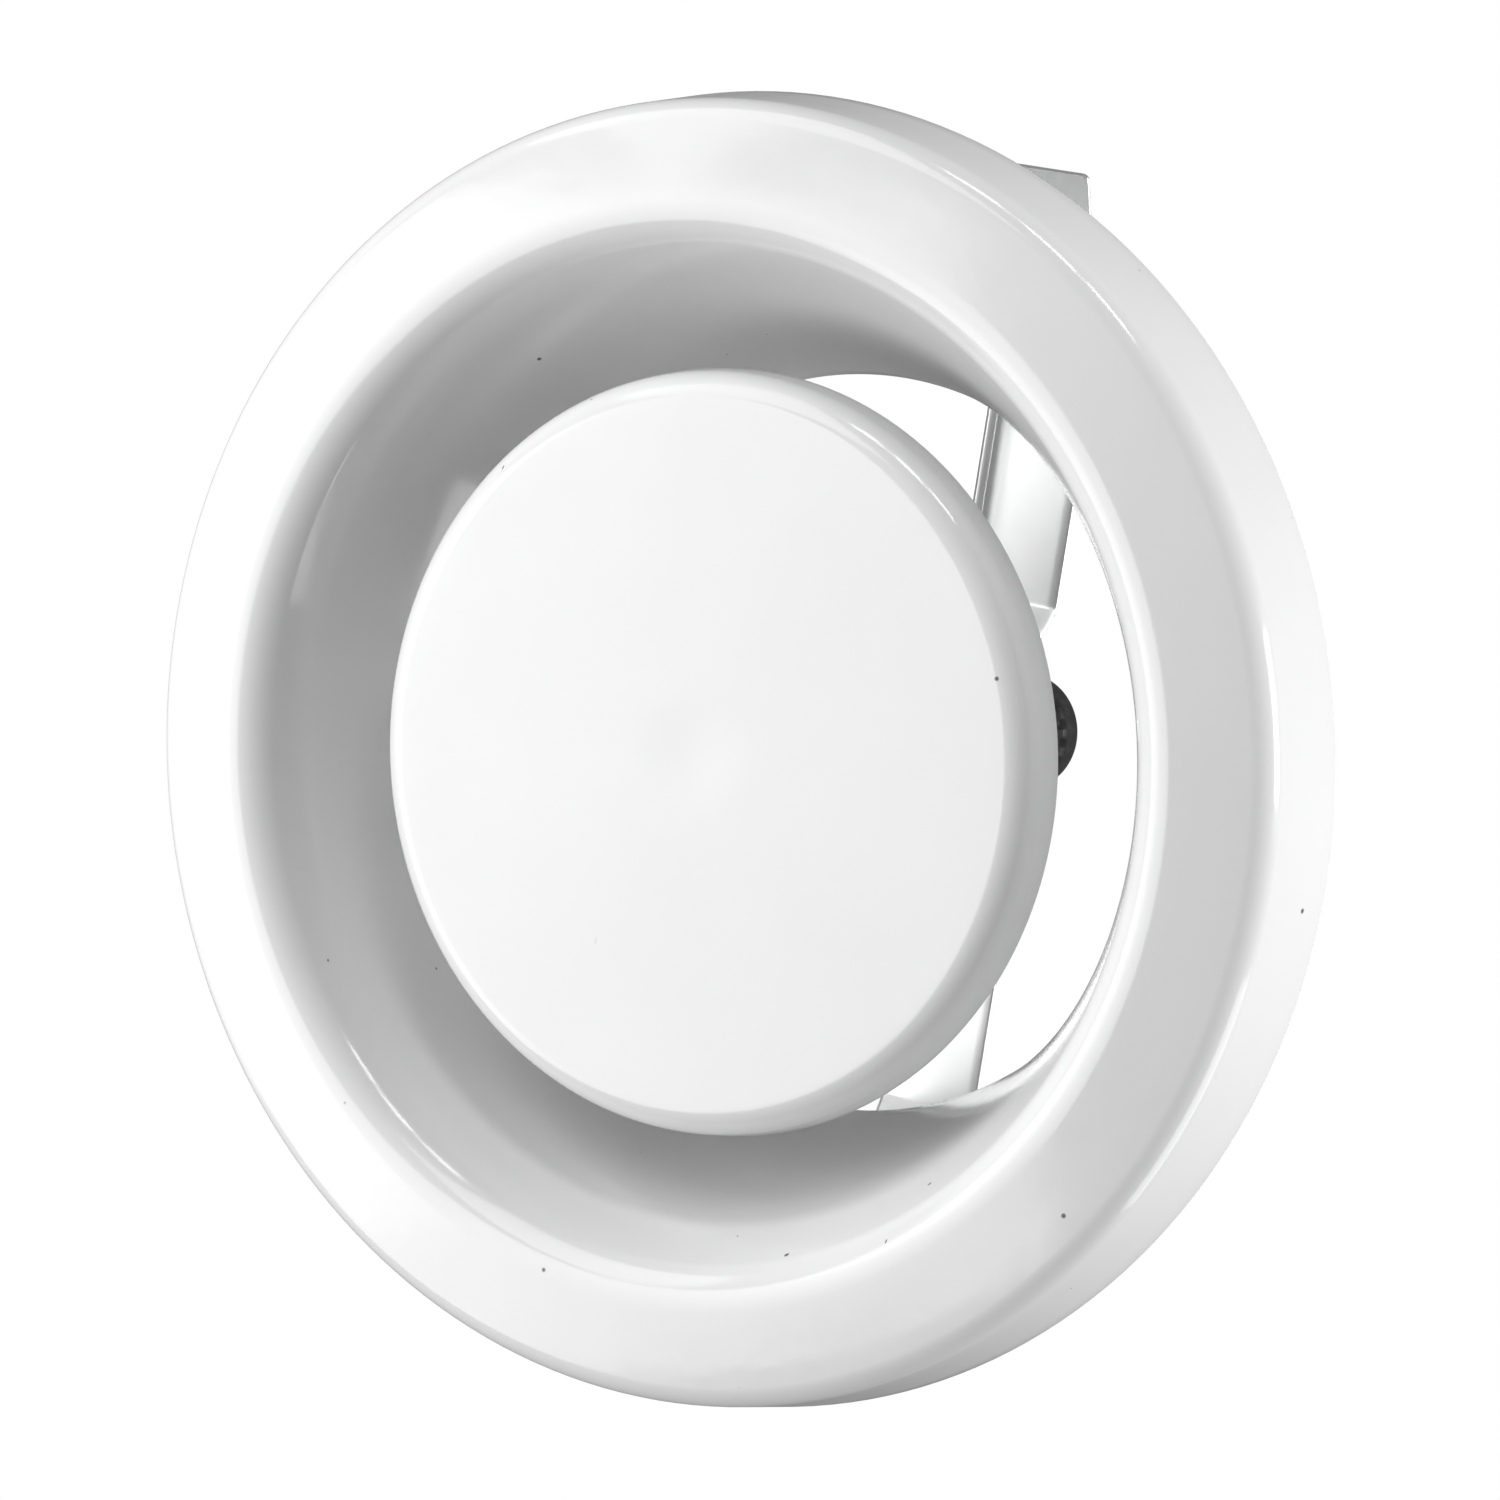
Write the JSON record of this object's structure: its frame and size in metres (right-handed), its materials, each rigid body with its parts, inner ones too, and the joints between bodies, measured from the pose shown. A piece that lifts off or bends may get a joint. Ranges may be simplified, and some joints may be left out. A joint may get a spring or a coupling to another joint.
{
  "type": "ceiling air diffuser",
  "caption": "Round ceiling air diffuser: a bell-mouthed ring and a central disc on a threaded spindle, turned to set the air gap, locked by a rear knob and held in the duct by a sprung bar",
  "frame": {"origin": "centre of the ceiling plane, where the ring's rear edge rests", "axes": "+Z along the diffuser's axis, up into the duct; the face looks down along -Z; the clamp bar runs along Y"},
  "size_m": [0.17, 0.17, 0.106],
  "materials": {
    "white_coat": "gloss powder coat",
    "zinc": "bright zinc plate",
    "spring_steel": "dark oiled",
    "black_plastic": "satin moulded",
    "brass": "turned",
    "foam": "closed-cell foam"
  },
  "bodies": {
    "housing": {"front_ring": "white_coat", "ceiling_gasket": "foam", "stay_a": "white_coat", "stay_b": "white_coat", "clamp_bar": "zinc", "bar_rivets": "zinc", "threaded_bush": "zinc"},
    "stop_washer": {"stop_washer": "zinc"},
    "disc": {"valve_disc": "white_coat", "hub_plate": "zinc", "spindle": "zinc", "hub_washer": "zinc", "hub_nut": "zinc", "stop_clip": "spring_steel"},
    "knob_washer": {"knob_washer": "zinc"},
    "lock_knob": {"lock_knob": "black_plastic", "knob_insert": "brass"}
  },
  "joints": [
    {"name": "disc_travel", "type": "slide", "parent": "housing", "child": "stop_washer", "axis": [0, 0, 1], "range_m": [-0.003, 0.032]},
    {"name": "disc_turn", "type": "hinge", "parent": "stop_washer", "child": "disc", "pos_m": [0, 0, 0], "axis": [0, 0, 1], "range_deg": [-1080, 11520]},
    {"name": "knob_travel", "type": "slide", "parent": "housing", "child": "knob_washer", "axis": [0, 0, 1], "range_m": [0, 0.001]},
    {"name": "knob_turn", "type": "hinge", "parent": "knob_washer", "child": "lock_knob", "pos_m": [0, 0, 0.075], "axis": [0, 0, 1], "range_deg": [0, 360]}
  ],
  "couplings": [
    {"joint": "disc_turn", "follows": "disc_travel", "rad_per_m": 6283.2},
    {"joint": "knob_turn", "follows": "knob_travel", "rad_per_m": 6283.2}
  ]
}
